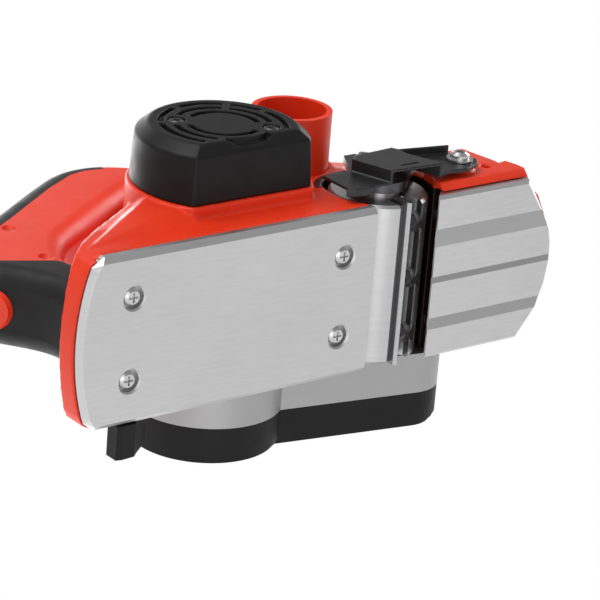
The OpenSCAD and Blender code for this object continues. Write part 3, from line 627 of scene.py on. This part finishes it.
def floor():
    """Pale floor at the sole's height, fading out. A view from below looks through it."""
    mesh = bpy.data.meshes.new("floor")
    s = FLOOR_HALF
    mesh.from_pydata([(-s, -s, 0), (s, -s, 0), (s, s, 0), (-s, s, 0)], [], [(0, 1, 2, 3)])
    obj = bpy.data.objects.new("floor", mesh)
    scene.collection.objects.link(obj)
    mat = bpy.data.materials.new("floor")
    mat.use_nodes = True
    tree = mat.node_tree
    bsdf = tree.nodes["Principled BSDF"]
    bsdf.inputs["Base Color"].default_value = (0.86, 0.86, 0.86, 1)
    bsdf.inputs["Roughness"].default_value = 0.8
    clear = tree.nodes.new("ShaderNodeBsdfTransparent")
    mix = tree.nodes.new("ShaderNodeMixShader")
    side = tree.nodes.new("ShaderNodeNewGeometry")
    spread = tree.nodes.new("ShaderNodeVectorMath")
    spread.operation = "LENGTH"
    tree.links.new(side.outputs["Position"], spread.inputs[0])
    fade = tree.nodes.new("ShaderNodeMapRange")
    fade.inputs["From Min"].default_value, fade.inputs["From Max"].default_value = FLOOR_FADE
    tree.links.new(spread.outputs["Value"], fade.inputs["Value"])
    hidden = tree.nodes.new("ShaderNodeMath")
    hidden.operation = "MAXIMUM"
    tree.links.new(side.outputs["Backfacing"], hidden.inputs[0])
    tree.links.new(fade.outputs["Result"], hidden.inputs[1])
    tree.links.new(hidden.outputs[0], mix.inputs[0])
    tree.links.new(bsdf.outputs[0], mix.inputs[1])
    tree.links.new(clear.outputs[0], mix.inputs[2])
    tree.links.new(mix.outputs[0], tree.nodes["Material Output"].inputs["Surface"])
    mesh.materials.append(mat)
    obj.visible_shadow = False
    obj.visible_diffuse = False
    obj.visible_glossy = False


ROOM = ((0.45, 0.34), (0.64, 0.95))  # place along Y, from 0 to 1, and grey of the room there


def world():
    """White to the eye, and a soft grey room to light and reflections."""
    w = bpy.data.worlds.new("studio")
    scene.world = w
    w.use_nodes = True
    tree = w.node_tree
    tree.nodes.clear()
    out = tree.nodes.new("ShaderNodeOutputWorld")
    mix = tree.nodes.new("ShaderNodeMixShader")
    path = tree.nodes.new("ShaderNodeLightPath")
    seen = tree.nodes.new("ShaderNodeBackground")
    seen.inputs["Color"].default_value = (1, 1, 1, 1)
    room = tree.nodes.new("ShaderNodeBackground")
    coord = tree.nodes.new("ShaderNodeTexCoord")
    split = tree.nodes.new("ShaderNodeSeparateXYZ")
    ramp = tree.nodes.new("ShaderNodeValToRGB")
    for element, (place, value) in zip(ramp.color_ramp.elements, ROOM):
        element.position = place
        element.color = rgba(value)
    half = tree.nodes.new("ShaderNodeMath")
    half.operation = "MULTIPLY_ADD"
    half.inputs[1].default_value = 0.5
    half.inputs[2].default_value = 0.5
    tree.links.new(coord.outputs["Generated"], split.inputs[0])
    tree.links.new(split.outputs["Y"], half.inputs[0])
    tree.links.new(half.outputs[0], ramp.inputs["Fac"])
    tree.links.new(ramp.outputs["Color"], room.inputs["Color"])
    tree.links.new(path.outputs["Is Camera Ray"], mix.inputs[0])
    tree.links.new(room.outputs[0], mix.inputs[1])
    tree.links.new(seen.outputs[0], mix.inputs[2])
    tree.links.new(mix.outputs[0], out.inputs["Surface"])


def softbox(name, place, target, size, power):
    data = bpy.data.lights.new(name, "AREA")
    data.shape = "RECTANGLE"
    data.size, data.size_y = size
    data.energy = power
    obj = bpy.data.objects.new(name, data)
    scene.collection.objects.link(obj)
    obj.location = place
    obj.rotation_mode = "QUATERNION"
    obj.rotation_quaternion = (Vector(target) - Vector(place)).to_track_quat("-Z", "Y")


MIDDLE = (0.03, 0.0, 0.06)


def lights():
    softbox("key_side", (-0.45, -1.3, 0.3), MIDDLE, (0.9, 0.9), 14)
    softbox("fill_sole", (-0.6, -0.25, -1.2), MIDDLE, (1.2, 1.2), 6)
    softbox("top", (0.3, 0.2, 1.3), MIDDLE, (1.1, 1.1), 16)
    softbox("back", (-0.2, 1.4, 0.5), MIDDLE, (1.0, 1.0), 12)
    softbox("front", (1.4, -0.3, 0.35), MIDDLE, (0.8, 0.8), 9)


def camera():
    """The planer seen from below its tail, lying on its belt cover's side."""
    right = Vector((0.79555336, -0.07666844, -0.60101315))
    up = Vector((0.16275381, -0.92846057, 0.33387449))
    ahead = right.cross(up) * -1
    data = bpy.data.cameras.new("camera")
    data.sensor_width = 36
    data.lens = 184.8
    obj = bpy.data.objects.new("camera", data)
    scene.collection.objects.link(obj)
    turn = Matrix((right, up, -ahead)).transposed().to_4x4()
    obj.matrix_world = Matrix.Translation((-0.78759, -0.51456, -1.02208)) @ turn
    data.clip_start, data.clip_end = 0.05, 20
    scene.camera = obj


floor()
world()
lights()
camera()
scene.view_settings.view_transform = "Standard"
